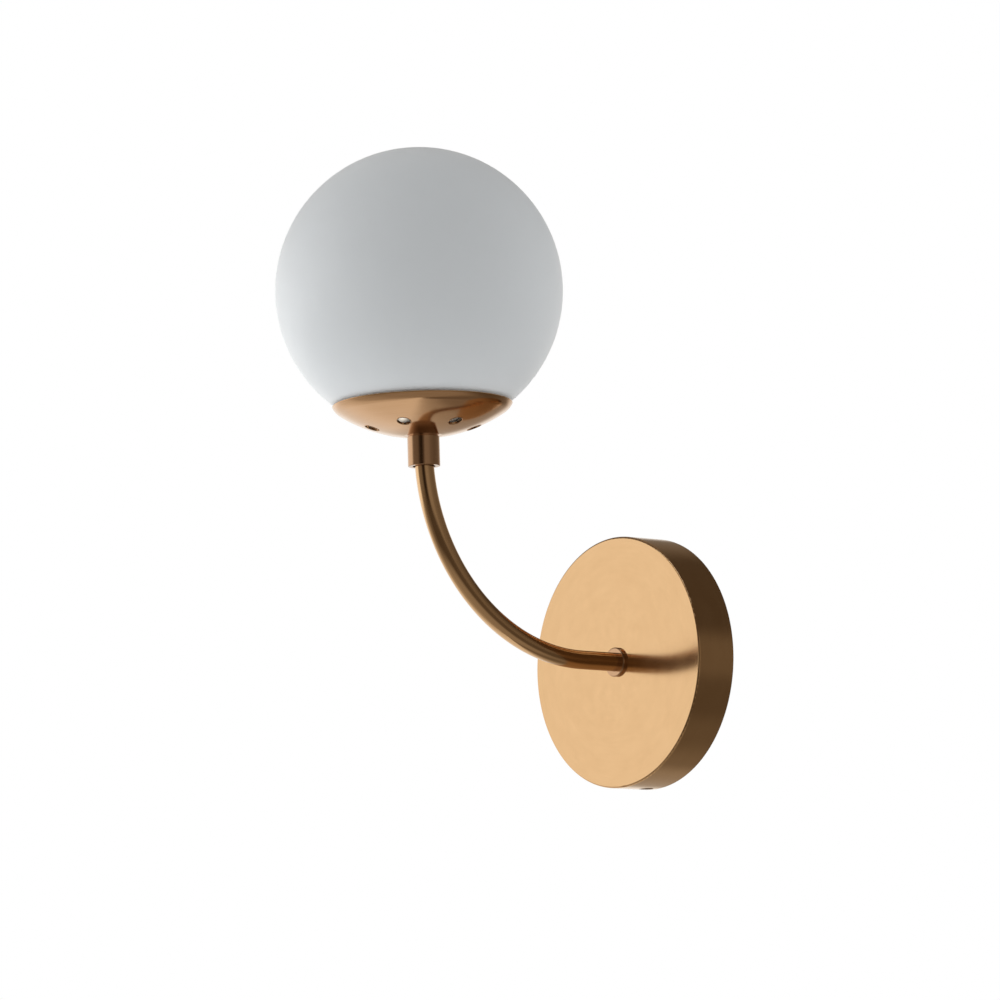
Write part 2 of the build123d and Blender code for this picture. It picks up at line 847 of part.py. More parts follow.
def make_terminal_screws():
    """Slotted clamping screws, their feet on the leads in the barrels."""
    slot_length, slot_width, slot_depth = clamp_slot
    with BuildPart() as screws:
        for height in pole_heights:
            for place in clamp_places(height):
                with BuildSketch(out_from_wall(clamp_foot_out)):
                    with Locations(place):
                        Circle(clamp_radius)
                extrude(amount=clamp_length)
                with BuildSketch(out_from_wall(clamp_top_out)):
                    with Locations(place):
                        Rectangle(slot_length, slot_width)
                extrude(amount=-slot_depth, mode=Mode.SUBTRACT)
    save(screws, "terminal_screws")


def make_block_screw():
    with BuildPart() as fixing:
        with BuildSketch(out_from_wall(block_step_out)):
            with Locations((block_middle_x, block_screw_height)):
                Circle(block_head_radius)
        extrude(amount=block_head_height)
        with BuildSketch(out_from_wall(screw_end_from_wall)):
            with Locations((block_middle_x, block_screw_height)):
                Circle(block_screw_radius)
        extrude(amount=block_step_out - screw_end_from_wall)
    save(fixing, "block_screw")


# ---------------------------------------------------------------- earth screw and tag
earth_head_out = bracket_thickness + earth_tag_thickness
earth_head_top_out = earth_head_out + earth_head_height
earth_barrel_out = bracket_thickness + earth_barrel_radius
diagonal = sin(radians(quarter_turn / 2))
earth_barrel_plane = Plane(
    origin=(
        earth_barrel_start * diagonal,
        -earth_barrel_out,
        -earth_screw_drop + earth_barrel_start * diagonal,
    ),
    x_dir=(0, 1, 0),
    z_dir=(diagonal, 0, diagonal),
)


def make_earth_tag():
    """Ring tag under the earth screw, with a barrel for the lead."""
    neck_shift, neck_length, neck_width = earth_neck
    with BuildPart() as tag:
        with BuildSketch(out_from_wall(bracket_thickness)):
            with Locations((0, -earth_screw_drop)):
                Circle(earth_tag_radius)
                with Locations(Location((neck_shift, neck_shift), quarter_turn / 2)):
                    Rectangle(neck_length, neck_width)
                Circle(side_shank_radius + slip, mode=Mode.SUBTRACT)
        extrude(amount=earth_tag_thickness)
        with BuildSketch(earth_barrel_plane):
            Circle(earth_barrel_radius)
            Circle(lead_radius + slip, mode=Mode.SUBTRACT)
        extrude(amount=earth_barrel_length)
    save(tag, "earth_tag")


def make_earth_screw():
    cross_length, cross_width, cross_depth = earth_cross
    with BuildPart() as screw:
        with BuildSketch(out_from_wall(earth_head_out)):
            with Locations((0, -earth_screw_drop)):
                Circle(earth_head_radius)
        extrude(amount=earth_head_height)
        fillet(screw.edges().group_by(Axis.Y)[0], earth_head_edge)
        with BuildSketch(out_from_wall(screw_end_from_wall)):
            with Locations((0, -earth_screw_drop)):
                Circle(side_shank_radius)
        extrude(amount=earth_head_out - screw_end_from_wall)
        with BuildSketch(out_from_wall(earth_head_top_out)):
            with Locations((0, -earth_screw_drop)):
                Rectangle(cross_length, cross_width)
                Rectangle(cross_width, cross_length)
        extrude(amount=-cross_depth, mode=Mode.SUBTRACT)
    save(screw, "earth_screw")


# ---------------------------------------------------------------- leads
def make_lead(name, points, radii):
    """An insulated lead along straight runs joined by tangent arcs."""
    with BuildPart() as lead:
        with BuildLine() as route:
            FilletPolyline(*points, radius=radii)
        path = route.wire()
        with BuildSketch(Plane(origin=path @ 0, z_dir=path % 0)):
            Circle(lead_radius)
        sweep(path=path)
    share = lead.part.volume / (pi * lead_radius**2 * path.length)
    print(name, "arc radii", radii, "volume over section times length", round(share, 4))
    save(lead, name)


def make_leads():
    half = lead_spacing / 2
    live_z, neutral_z, earth_z = pole_heights
    inside = block_from_axis + lead_strip_length
    make_lead(
        "live_lead",
        [
            (inside, -barrel_out, live_z),
            (9.0, -barrel_out - 0.5, live_z - 0.3),
            (half, -tube_end_out + 5.8, 0),
            (half, lamp_y, 0),
            (half, lamp_y, lead_end_z),
        ],
        (lead_bend_radius, lead_bend_radius, arm_bend_radius),
    )
    make_lead(
        "neutral_lead",
        [
            (inside, -barrel_out, neutral_z),
            (-half, -barrel_out, 0),
            (-half, lamp_y, 0),
            (-half, lamp_y, lead_end_z),
        ],
        (lead_bend_radius, arm_bend_radius),
    )
    mouth = earth_barrel_plane.origin + earth_barrel_plane.z_dir * 2.0
    make_lead(
        "earth_lead",
        [
            (inside, -barrel_out, earth_z),
            (12.0, -barrel_out, earth_z),
            (mouth.X + 3.0, -earth_barrel_out, mouth.Z + 3.0),
            (mouth.X, -earth_barrel_out, mouth.Z),
        ],
        (earth_lead_bend_radius, earth_lead_bend_radius),
    )


# ---------------------------------------------------------------- build everything
make_wall_cover()
make_wall_bracket()
make_side_screws()
make_arm_tube()
make_wall_collar()
make_tooth_washer(out_from_wall(tube_nut_face), "tube_lock_washer", tube_radius + slip)
make_hex_nut(out_from_wall(tube_nut_face - nut_height), "tube_nut", tube_radius + slip / 2)
make_tube_grommet()
make_coupler_sleeve()
make_dish_washer()
make_globe_dish()
make_globe_seat_ring()
make_threaded_stem()
make_spring_spider()
make_tooth_washer(lamp_level(spider_top_z), "dish_lock_washer", stem_radius + slip)
make_hex_nut(lamp_level(dish_nut_z), "dish_nut", stem_radius + slip / 2)
make_globe_glass()
make_lampholder_cap()
make_lampholder_skirt()
make_contact_block()
make_screw_shell()
make_centre_contact()
make_bulb_foot()
make_bulb_cap()
make_bulb_housing()
make_bulb_ball()
make_terminal_block()
make_terminal_barrels()
make_terminal_screws()
make_block_screw()
make_earth_tag()
make_earth_screw()
make_leads()
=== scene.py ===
"""Finishes, small details, studio and camera for the globe wall sconce.

Metres, in the part's own frame: the origin is on the wall at the middle of the wall cover, +Z is up
and -Y points into the room. The arm lies in the plane X = 0 and the lamp's axis is upright.
"""

import math

import bmesh
import bpy
from mathutils import Matrix, Vector


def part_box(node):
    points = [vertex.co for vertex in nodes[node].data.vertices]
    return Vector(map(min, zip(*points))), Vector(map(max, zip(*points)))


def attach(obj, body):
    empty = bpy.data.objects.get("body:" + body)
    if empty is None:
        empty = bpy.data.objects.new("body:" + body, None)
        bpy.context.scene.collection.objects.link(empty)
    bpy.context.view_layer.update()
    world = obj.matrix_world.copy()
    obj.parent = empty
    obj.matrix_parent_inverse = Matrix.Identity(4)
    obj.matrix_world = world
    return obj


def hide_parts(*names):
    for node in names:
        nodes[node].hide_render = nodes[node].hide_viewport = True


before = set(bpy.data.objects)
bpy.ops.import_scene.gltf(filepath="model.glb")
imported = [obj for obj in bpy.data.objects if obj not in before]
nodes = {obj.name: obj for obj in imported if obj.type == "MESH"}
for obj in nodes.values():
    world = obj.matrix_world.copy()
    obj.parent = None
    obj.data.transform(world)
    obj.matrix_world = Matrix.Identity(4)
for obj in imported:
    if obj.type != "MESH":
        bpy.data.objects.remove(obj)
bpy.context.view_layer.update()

# ---------------------------------------------------------------- places read from the part
mm = 0.001


def middle(node):
    """Centre of a node's box."""
    low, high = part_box(node)
    return (Vector(low) + Vector(high)) / 2


lamp_axis = middle("globe_dish")
lamp_axis.z = 0
bend_radius = 103 * mm
bend_centre = Vector((0, lamp_axis.y + bend_radius, bend_radius))

# ---------------------------------------------------------------- camera
photo_pixels = 1000
focal_pixels = 6000
sensor_width = 36.0
camera_place = Vector((2.4070, -2.0739, -0.3679))
camera_turn = math.radians(50.65)
camera_rise = math.radians(8.22)
camera_roll = math.radians(-1.742)


def add_camera():
    """Stands the camera where the photograph was taken, right of the light and a little below."""
    ahead = Vector(
        (
            -math.sin(camera_turn) * math.cos(camera_rise),
            math.cos(camera_turn) * math.cos(camera_rise),
            math.sin(camera_rise),
        )
    )
    level = Vector((math.cos(camera_turn), math.sin(camera_turn), 0))
    upright = level.cross(ahead)
    right = level * math.cos(camera_roll) + upright * math.sin(camera_roll)
    up = upright * math.cos(camera_roll) - level * math.sin(camera_roll)
    data = bpy.data.cameras.new("camera")
    data.sensor_width = sensor_width
    data.lens = sensor_width * focal_pixels / photo_pixels
    data.clip_end = 50
    camera = bpy.data.objects.new("camera", data)
    bpy.context.scene.collection.objects.link(camera)
    turn = Matrix((right, up, -ahead)).transposed().to_4x4()
    camera.matrix_world = Matrix.Translation(camera_place) @ turn
    bpy.context.scene.camera = camera


# ---------------------------------------------------------------- node helpers
def add_node(tree, kind, inputs=None, **settings):
    """Adds one node. An input is a number, a colour, or another node's output socket."""
    made = tree.nodes.new(kind)
    for name, value in settings.items():
        setattr(made, name, value)
    for socket, value in (inputs or {}).items():
        if isinstance(value, bpy.types.NodeSocket):
            tree.links.new(value, made.inputs[socket])
        else:
            made.inputs[socket].default_value = value
    return made


def math_node(tree, operation, first, second=0.0, third=0.0):
    """One sum, as its output socket."""
    made = add_node(tree, "ShaderNodeMath", {0: first, 1: second, 2: third}, operation=operation)
    return made.outputs[0]


def ramp_node(tree, factor, stops, interpolation="LINEAR"):
    """A colour ramp from (place, colour) stops, as its output socket."""
    made = add_node(tree, "ShaderNodeValToRGB", {0: factor})
    ramp = made.color_ramp
    ramp.interpolation = interpolation
    while len(ramp.elements) < len(stops):
        ramp.elements.new(0.5)
    for element, (place, colour) in zip(ramp.elements, stops):
        element.position = place
        element.color = colour if len(colour) == 4 else (*colour, 1)
    return made.outputs[0]


def sum_of_squares(tree, first, second):
    """Two values squared and added, as a socket."""
    squares = [math_node(tree, "MULTIPLY", value, value) for value in (first, second)]
    return math_node(tree, "ADD", *squares)


def on_circle(tree, angle, radius):
    """The two coordinates of a point on a circle, as sockets."""
    return [
        math_node(tree, "MULTIPLY", math_node(tree, wave, angle), radius)
        for wave in ("COSINE", "SINE")
    ]


def grey(value):
    """A grey colour."""
    return (value, value, value, 1)


def noise_node(tree, vector, scale, detail=2.0, roughness=0.5):
    """Noise between 0 and 1 over a vector socket."""
    made = add_node(
        tree,
        "ShaderNodeTexNoise",
        {"Vector": vector, "Scale": scale, "Detail": detail, "Roughness": roughness},
    )
    return made.outputs["Fac"]


def join_xyz(tree, x, y, z):
    """A vector from three sockets or numbers."""
    return add_node(tree, "ShaderNodeCombineXYZ", {0: x, 1: y, 2: z}).outputs[0]


def object_place(tree):
    """Object coordinates, which are the frame's own."""
    return add_node(tree, "ShaderNodeTexCoord").outputs["Object"]


def place_xyz(tree, origin=(0, 0, 0)):
    """Object coordinates measured from a point, as three sockets."""
    moved = add_node(
        tree,
        "ShaderNodeVectorMath",
        {0: object_place(tree), 1: tuple(origin)},
        operation="SUBTRACT",
    ).outputs[0]
    return add_node(tree, "ShaderNodeSeparateXYZ", {0: moved}).outputs


def new_material(name, colour, metallic=0.0, roughness=0.5, sockets=None):
    """A material with a Principled shader, and its tree and shader. Sockets go by their own names."""
    material = bpy.data.materials.new(name)
    material.use_nodes = True
    tree = material.node_tree
    shader = tree.nodes["Principled BSDF"]
    shader.inputs["Base Color"].default_value = (*colour, 1)
    shader.inputs["Metallic"].default_value = metallic
    shader.inputs["Roughness"].default_value = roughness
    for socket, value in (sockets or {}).items():
        shader.inputs[socket].default_value = value
    return material, tree, shader


pattern_low, pattern_high = 0.25, 0.75


def add_bump(tree, shader, pattern, strength, depth):
    """Roughens a shader's surface with a pattern."""
    bumped = add_node(
        tree, "ShaderNodeBump", {"Strength": strength, "Distance": depth, "Height": pattern}
    )
    tree.links.new(bumped.outputs[0], shader.inputs["Normal"])


def pattern_into_finish(tree, shader, colours, pattern, roughness, bump, bump_depth):
    """Puts one pattern into the colour, the gloss and the surface of a shader."""
    stops = [(pattern_low, colours[0]), (pattern_high, colours[1])]
    tree.links.new(ramp_node(tree, pattern, stops), shader.inputs["Base Color"])
    rough = add_node(
        tree,
        "ShaderNodeMapRange",
        {
            "Value": pattern,
            "From Min": pattern_low,
            "From Max": pattern_high,
            "To Min": roughness[0],
            "To Max": roughness[1],
        },
    ).outputs[0]
    tree.links.new(rough, shader.inputs["Roughness"])
    add_bump(tree, shader, pattern, bump, bump_depth)


# ---------------------------------------------------------------- brass finishes
brass_light = (0.83, 0.54, 0.29)
brass_dark = (0.785, 0.50, 0.26)
# The cover's darker tone is both the dark of its fine brushed streaks and the dark of its painted sheen.
cover_dark = (0.75, 0.475, 0.245)
copper_light = (0.775, 0.485, 0.275)
copper_dark = (0.715, 0.43, 0.225)
sleeve_light = (0.63, 0.385, 0.22)
sleeve_dark = (0.59, 0.35, 0.195)


brush_depth = 0.02 * mm


def streak_noise(tree, turn_x, turn_y, line):
    """The uneven strength of the brushing and of the cover's painted sheen, over a turn and across the
    lines.
    """
    return noise_node(tree, join_xyz(tree, turn_x, turn_y, line), 1.0, 3.0, 0.6)


def ring_streaks(tree, axes, fineness, arc):
    """Long streaks round an axis, fine across it and slow along the turn: fine scratches at a high
    fineness, broad patches of painted sheen at a low one.
    """
    first, second, along = axes
    radius = math_node(tree, "SQRT", sum_of_squares(tree, first, second))
    turn_x, turn_y = on_circle(tree, math_node(tree, "ARCTAN2", second, first), arc)
    across = math_node(tree, "ADD", radius, along)
    return streak_noise(tree, turn_x, turn_y, math_node(tree, "MULTIPLY", across, fineness))


def brush_round(tree, shader, axis):
    """Lets the gloss stretch across the scratches round an axis."""
    tangent = add_node(tree, "ShaderNodeTangent", direction_type="RADIAL", axis=axis)
    tree.links.new(tangent.outputs[0], shader.inputs["Tangent"])


def spun_cover_brass():
    """Satin brass of the wall cover, brushed in rings round its middle, with painted sheen in broad
    bright and dark sectors.
    """
    material, tree, shader = new_material(
        "spun_cover_brass", brass_light, metallic=1.0, sockets={"Anisotropic": 0.3}
    )
    x, y, z = place_xyz(tree)
    # The broad streaks are painted sheen: bright and dark sectors round the cover, mixed with the fine
    # brushed lines.
    painted_sheen_share = 0.6
    fine = ring_streaks(tree, (x, z, y), 2600, arc=2.2)
    painted_sheen = ring_streaks(tree, (x, z, y), 130, arc=3.5)
    fine = math_node(tree, "MULTIPLY", fine, 1 - painted_sheen_share)
    streaks = math_node(tree, "MULTIPLY_ADD", painted_sheen, painted_sheen_share, fine)
    pattern_into_finish(tree, shader, (cover_dark, brass_light), streaks, (0.12, 0.16), 0.04, brush_depth)
    brush_round(tree, shader, "Y")
    return material


def turned_brass(name, axis, colours, roughness):
    """Brass turned on a lathe: fine rings round the lamp's axis or the arm's foot."""
    material, tree, shader = new_material(
        name,
        colours[1],
        metallic=1.0,
        sockets={"Anisotropic": 0.3, "Coat Weight": 0.35, "Coat Roughness": 0.1},
    )
    x, y, z = place_xyz(tree, lamp_axis if axis == "Z" else (0, 0, 0))
    axes = (x, y, z) if axis == "Z" else (x, z, y)
    streaks = ring_streaks(tree, axes, 2400, arc=2.0)
    pattern_into_finish(tree, shader, colours, streaks, roughness, 0.05, brush_depth)
    brush_round(tree, shader, axis)
    return material


def drawn_tube_brass():
    """Brass of the arm, brushed along its length, which the streaks follow round the bend."""
    material, tree, shader = new_material(
        "drawn_tube_brass",
        brass_light,
        metallic=1.0,
        sockets={"Coat Weight": 0.35, "Coat Roughness": 0.08},
    )
    x, y, z = place_xyz(tree, bend_centre)
    bent_y, bent_z = (math_node(tree, "MINIMUM", value, 0.0) for value in (y, z))
    reach = math_node(tree, "SQRT", sum_of_squares(tree, bent_y, bent_z))
    above = math_node(tree, "SUBTRACT", reach, bend_radius)
    lines_round, lines_along = 22, 60
    across_x, across_y = on_circle(tree, math_node(tree, "ARCTAN2", x, above), lines_round)
    along = math_node(tree, "MULTIPLY", math_node(tree, "SUBTRACT", z, y), lines_along)
    streaks = streak_noise(tree, across_x, across_y, along)
    pattern_into_finish(tree, shader, (brass_dark, brass_light), streaks, (0.10, 0.15), 0.05, brush_depth)
    return material


# ---------------------------------------------------------------- other finishes
grain_depth = 0.05 * mm


def mottled(name, dark, light, metallic, roughness, scale, bump=0.05):
    """A cast, moulded or plated surface with a fine uneven grain."""
    material, tree, shader = new_material(name, light, metallic=metallic)
    grain = noise_node(tree, object_place(tree), scale, 4.0, 0.6)
    pattern_into_finish(tree, shader, (dark, light), grain, roughness, bump, grain_depth)
    return material


def opal_glass():
    """Blown opal glass with a satin skin."""
    milkiness = 6 * mm
    material, tree, shader = new_material(
        "opal_glass",
        (0.80, 0.84, 0.865),
        sockets={
            "Subsurface Weight": 1.0,
            "Subsurface Scale": 1.0,
            "Subsurface Radius": (milkiness,) * 3,
        },
    )
    clouds = noise_node(tree, object_place(tree), 14)
    rough = add_node(
        tree, "ShaderNodeMapRange", {"Value": clouds, "To Min": 0.38, "To Max": 0.48}
    ).outputs[0]
    tree.links.new(rough, shader.inputs["Roughness"])
    frosting = noise_node(tree, object_place(tree), 3500)
    add_bump(tree, shader, frosting, 0.04, 0.02 * mm)
    return material


def striped_insulation():
    """Green lead with yellow stripes along it."""
    material, tree, shader = new_material("striped_insulation", (0.1, 0.35, 0.08), roughness=0.45)
    _, y, z = place_xyz(tree)
    waves_per_metre = 3200
    across = math_node(tree, "MULTIPLY", math_node(tree, "ADD", y, z), waves_per_metre)
    wave = math_node(tree, "SINE", across)
    stripes = ramp_node(
        tree,
        math_node(tree, "MULTIPLY_ADD", wave, 0.5, 0.5),
        [(0.45, (0.07, 0.30, 0.06)), (0.55, (0.80, 0.66, 0.06))],
    )
    tree.links.new(stripes, shader.inputs["Base Color"])
    return material


def make_finishes():
    """Every finish by name."""
    finishes = {
        "cover": spun_cover_brass(),
        "tube": drawn_tube_brass(),
        "opal": opal_glass(),
        "striped": striped_insulation(),
    }
    turned = {
        "sleeve": ("turned_sleeve_brass", "Z", (sleeve_dark, sleeve_light), (0.12, 0.17)),
        "collar": ("turned_collar_brass", "Y", (sleeve_dark, sleeve_light), (0.12, 0.18)),
        "dish": ("spun_dish_brass", "Z", (copper_dark, copper_light), (0.11, 0.16)),
    }
    for finish, values in turned.items():
        finishes[finish] = turned_brass(*values)
    # Material, dark and light colour, metallic, least and most roughness, grain, and its bump
    # where it isn't the usual one.
    grained = {
        "zinc": ("zinc_plated_steel", (0.55, 0.56, 0.56), (0.70, 0.70, 0.68), 1.0, (0.28, 0.42), 900),
        "spring": ("spring_steel", (0.54, 0.55, 0.58), (0.62, 0.63, 0.66), 1.0, (0.2, 0.28), 1500),
        "silicone": ("silicone", (0.70, 0.71, 0.70), (0.80, 0.80, 0.78), 0.0, (0.5, 0.6), 400),
        "nylon": ("white_nylon", (0.78, 0.78, 0.76), (0.84, 0.84, 0.82), 0.0, (0.42, 0.5), 1800),
        "porcelain": ("porcelain", (0.78, 0.76, 0.71), (0.86, 0.85, 0.80), 0.0, (0.5, 0.62), 1200),
        "contact": ("contact_brass", (0.72, 0.52, 0.22), (0.84, 0.65, 0.32), 1.0, (0.2, 0.34), 700),
        "brown": ("brown_insulation", (0.11, 0.045, 0.02), (0.16, 0.07, 0.03), 0.0, (0.4, 0.5), 900),
        "blue": ("blue_insulation", (0.02, 0.10, 0.38), (0.03, 0.15, 0.48), 0.0, (0.4, 0.5), 900),
        "nickel": ("nickel_plate", (0.70, 0.69, 0.66), (0.77, 0.76, 0.73), 1.0, (0.18, 0.24), 1800, 0.02),
        "black": ("black_glass", (0.01, 0.01, 0.01), (0.02, 0.02, 0.02), 0.0, (0.08, 0.15), 500),
        "diffuser": ("bulb_diffuser", (0.82, 0.82, 0.81), (0.88, 0.88, 0.87), 0.0, (0.3, 0.38), 900),
        "housing": (
            "bulb_housing_white", (0.78, 0.78, 0.77), (0.84, 0.84, 0.83), 0.0, (0.34, 0.42), 1500
        ),
    }
    for finish, values in grained.items():
        finishes[finish] = mottled(*values)
    return finishes


finish_of = {
    "wall_cover": "cover",
    "arm_tube": "tube",
    "coupler_sleeve": "sleeve",
    "wall_collar": "collar",
    "dish_washer": "sleeve",
    "globe_dish": "dish",
    "globe_glass": "opal",
    "globe_seat_ring": "silicone",
    "spring_spider": "spring",
    "tube_grommet": "nylon",
    "lampholder_cap": "nylon",
    "lampholder_skirt": "nylon",
    "terminal_block": "nylon",
    "contact_block": "porcelain",
    "screw_shell": "contact",
    "centre_contact": "contact",
    "terminal_barrels": "contact",
    "earth_tag": "contact",
    "earth_screw": "contact",
    "live_lead": "brown",
    "neutral_lead": "blue",
    "earth_lead": "striped",
    "bulb_button": "nickel",
    "bulb_cap": "nickel",
    "bulb_insulator": "black",
    "bulb_housing": "housing",
    "bulb_ball": "diffuser",
}


def dress_nodes(finishes):
    """Gives each node of the part its finish; plated steel is what is left."""
    for name, piece in nodes.items():
        finish = finishes[finish_of.get(name, "zinc")]
        for slot in piece.material_slots:
            slot.material = finish


# ---------------------------------------------------------------- repeated details
def new_tree(name, sizes):
    """A Geometry Nodes tree with named sizes. Returns the tree and its input sockets by name."""
    tree = bpy.data.node_groups.new(name, "GeometryNodeTree")
    kinds = {int: "NodeSocketInt", float: "NodeSocketFloat", tuple: "NodeSocketVector"}
    for label, value in sizes.items():
        socket = tree.interface.new_socket(label, in_out="INPUT", socket_type=kinds[type(value)])
        socket.default_value = value
    tree.interface.new_socket("Finish", in_out="INPUT", socket_type="NodeSocketMaterial")
    tree.interface.new_socket("Geometry", in_out="OUTPUT", socket_type="NodeSocketGeometry")
    return tree, tree.nodes.new("NodeGroupInput").outputs


def end_tree(tree, geometry, sizes):
    """Ends a tree: instances made real, smooth faces, and the finish."""
    real = add_node(tree, "GeometryNodeRealizeInstances", {0: geometry}).outputs[0]
    smooth = add_node(tree, "GeometryNodeSetShadeSmooth", {"Geometry": real}).outputs[0]
    finished = add_node(
        tree, "GeometryNodeSetMaterial", {"Geometry": smooth, "Material": sizes["Finish"]}
    ).outputs[0]
    out = tree.nodes.new("NodeGroupOutput")
    tree.links.new(finished, out.inputs[0])


def sweep(tree, curve, thickness, corners):
    """Tube of a round wire along a curve."""
    wire = add_node(
        tree, "GeometryNodeCurvePrimitiveCircle", {"Resolution": corners, "Radius": thickness}
    ).outputs[0]
    return add_node(
        tree, "GeometryNodeCurveToMesh", {"Curve": curve, "Profile Curve": wire, "Fill Caps": True}
    ).outputs[0]


def thread_tree():
    """Ridge of a screw thread wound up an axis, thin at both its ends."""
    tree, sizes = new_tree(
        "wound_thread",
        {
            "Radius": 2 * mm,
            "Pitch": 0.7 * mm,
            "Turns": 5.0,
            "Ridge": 0.2 * mm,
            "Foot": (0.0, 0.0, 0.0),
            "Lean": (0.0, 0.0, 0.0),
        },
    )
    rise = math_node(tree, "MULTIPLY", sizes["Pitch"], sizes["Turns"])
    winding = add_node(
        tree,
        "GeometryNodeCurveSpiral",
        {
            "Resolution": 24,
            "Rotations": sizes["Turns"],
            "Start Radius": sizes["Radius"],
            "End Radius": sizes["Radius"],
            "Height": rise,
        },
    ).outputs[0]
    along = add_node(tree, "GeometryNodeSplineParameter").outputs["Factor"]
    from_ends = math_node(tree, "PINGPONG", along, 0.5)
    taper, thinnest = 9.0, 0.15
    share = math_node(tree, "MULTIPLY_ADD", from_ends, taper, thinnest)
    share = math_node(tree, "MINIMUM", share, 1.0)
    tapered = add_node(
        tree, "GeometryNodeSetCurveRadius", {"Curve": winding, "Radius": share}
    ).outputs[0]
    ridge = sweep(tree, tapered, sizes["Ridge"], 6)
    placed = add_node(
        tree,
        "GeometryNodeTransform",
        {"Geometry": ridge, "Translation": sizes["Foot"], "Rotation": sizes["Lean"]},
    ).outputs[0]
    end_tree(tree, placed, sizes)
    return tree


def vent_lip_tree():
    """Fine turned edge round each vent hole, following the bowl of the dish."""
    tree, sizes = new_tree(
        "vent_lips",
        {
            "Count": 6,
            "Ring": 26.8 * mm,
            "Hole": 3.75 * mm,
            "Bowl": 80.4 * mm,
            "Lip": 0.2 * mm,
            "Centre": (0.0, 0.0, 0.0),
        },
    )
    circle = add_node(
        tree, "GeometryNodeCurvePrimitiveCircle", {"Resolution": 28, "Radius": sizes["Hole"]}
    ).outputs[0]
    aside = join_xyz(tree, sizes["Ring"], 0.0, 0.0)
    moved = add_node(
        tree, "GeometryNodeTransform", {"Geometry": circle, "Translation": aside}
    ).outputs[0]
    place = add_node(tree, "GeometryNodeInputPosition").outputs[0]
    x, y, _ = add_node(tree, "ShaderNodeSeparateXYZ", {0: place}).outputs
    square = math_node(tree, "MULTIPLY", sizes["Bowl"], sizes["Bowl"])
    drop = math_node(tree, "SUBTRACT", square, sum_of_squares(tree, x, y))
    height = math_node(tree, "MULTIPLY", math_node(tree, "SQRT", drop), -1.0)
    on_bowl = add_node(
        tree,
        "GeometryNodeSetPosition",
        {"Geometry": moved, "Position": join_xyz(tree, x, y, height)},
    ).outputs[0]
    lip = sweep(tree, on_bowl, sizes["Lip"], 6)
    points = add_node(tree, "GeometryNodePoints", {"Count": sizes["Count"]}).outputs[0]
    step = math_node(tree, "DIVIDE", 2 * math.pi, sizes["Count"])
    index = add_node(tree, "GeometryNodeInputIndex").outputs[0]
    turned = join_xyz(tree, 0.0, 0.0, math_node(tree, "MULTIPLY", index, step))
    ring = add_node(
        tree,
        "GeometryNodeInstanceOnPoints",
        {"Points": points, "Instance": lip, "Rotation": turned},
    ).outputs[0]
    placed = add_node(
        tree, "GeometryNodeTransform", {"Geometry": ring, "Translation": sizes["Centre"]}
    ).outputs[0]
    end_tree(tree, placed, sizes)
    return tree


def join_mesh(name, parts, finish, body):
    """Makes one piece of several meshes, which it uses up, and hangs it on its body."""
    shape = bmesh.new()
    for part in parts:
        shape.from_mesh(part)
        bpy.data.meshes.remove(part)
    return piece_of(name, shape, finish, body)


def piece_of(name, shape, finish, body):
    """Makes a piece of a finished shape, smooth and facing outwards."""
    bmesh.ops.recalc_face_normals(shape, faces=shape.faces)
    for face in shape.faces:
        face.smooth = True
    mesh = bpy.data.meshes.new(name)
    shape.to_mesh(mesh)
    shape.free()
    mesh.materials.append(finish)
    piece = bpy.data.objects.new(name, mesh)
    bpy.context.scene.collection.objects.link(piece)
    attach(piece, body)
    return piece


def grown_mesh(tree, sizes, finish):
    """The plain mesh that a tree makes with these sizes."""
    base = bpy.data.objects.new("seed", bpy.data.meshes.new("seed"))
    bpy.context.scene.collection.objects.link(base)
    modifier = base.modifiers.new("grow", "NODES")
    modifier.node_group = tree
    values = {"Finish": finish, **sizes}
    for item in tree.interface.items_tree:
        if item.item_type == "SOCKET" and item.in_out == "INPUT" and item.name in values:
            modifier[item.identifier] = values[item.name]
    graph = bpy.context.evaluated_depsgraph_get()
    mesh = bpy.data.meshes.new_from_object(base.evaluated_get(graph))
    base.modifiers.remove(modifier)
    bpy.data.objects.remove(base)
    return mesh


def add_threads(finishes):
    """Screw threads that show: on the arm's end inside the cover and on the cover's side screws."""
    tree = thread_tree()
    low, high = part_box("arm_tube")
    _, nut_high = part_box("tube_nut")
    pitch = 1.0 * mm
    sink = 0.05 * mm
    plain_end = 0.2 * mm
    tube_radius = (high[0] - low[0]) / 2
    tube = grown_mesh(
        tree,
        {
            "Radius": tube_radius - sink,
            "Pitch": pitch,
            "Turns": (high[1] - nut_high[1]) / pitch - 0.4,
            "Ridge": 0.3 * mm,
            "Foot": (0.0, high[1] - plain_end, 0.0),
            "Lean": (math.radians(90), 0.0, 0.0),
        },
        finishes["tube"],
    )
    join_mesh("arm_end_thread", [tube], finishes["tube"], "wall_unit")
    low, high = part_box("side_screws")
    middle_y = (low[1] + high[1]) / 2
    screw_length = 8.9 * mm
    plain_tip = 0.4 * mm
    foot = high[2] - screw_length + plain_tip
    shanks = [
        grown_mesh(
            tree,
            {
                "Radius": 1.93 * mm,
                "Pitch": 0.7 * mm,
                "Turns": 8.0,
                "Ridge": 0.22 * mm,
                "Foot": (0.0, middle_y, side * foot),
                "Lean": (0.0 if side > 0 else math.pi, 0.0, 0.0),
            },
            finishes["zinc"],
        )
        for side in (1, -1)
    ]
    join_mesh("side_screw_threads", shanks, finishes["zinc"], "wall_unit")


def add_vent_lips(finishes):
    """Turned edges of the six vent holes."""
    low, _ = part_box("globe_dish")
    bowl = 80.4 * mm
    flat = 10.0 * mm
    rise = math.sqrt(bowl**2 - flat**2)
    lips = grown_mesh(
        vent_lip_tree(),
        {"Bowl": bowl, "Centre": (0.0, lamp_axis.y, low[2] + rise)},
        finishes["dish"],
    )
    join_mesh("vent_lips", [lips], finishes["dish"], "wall_unit")


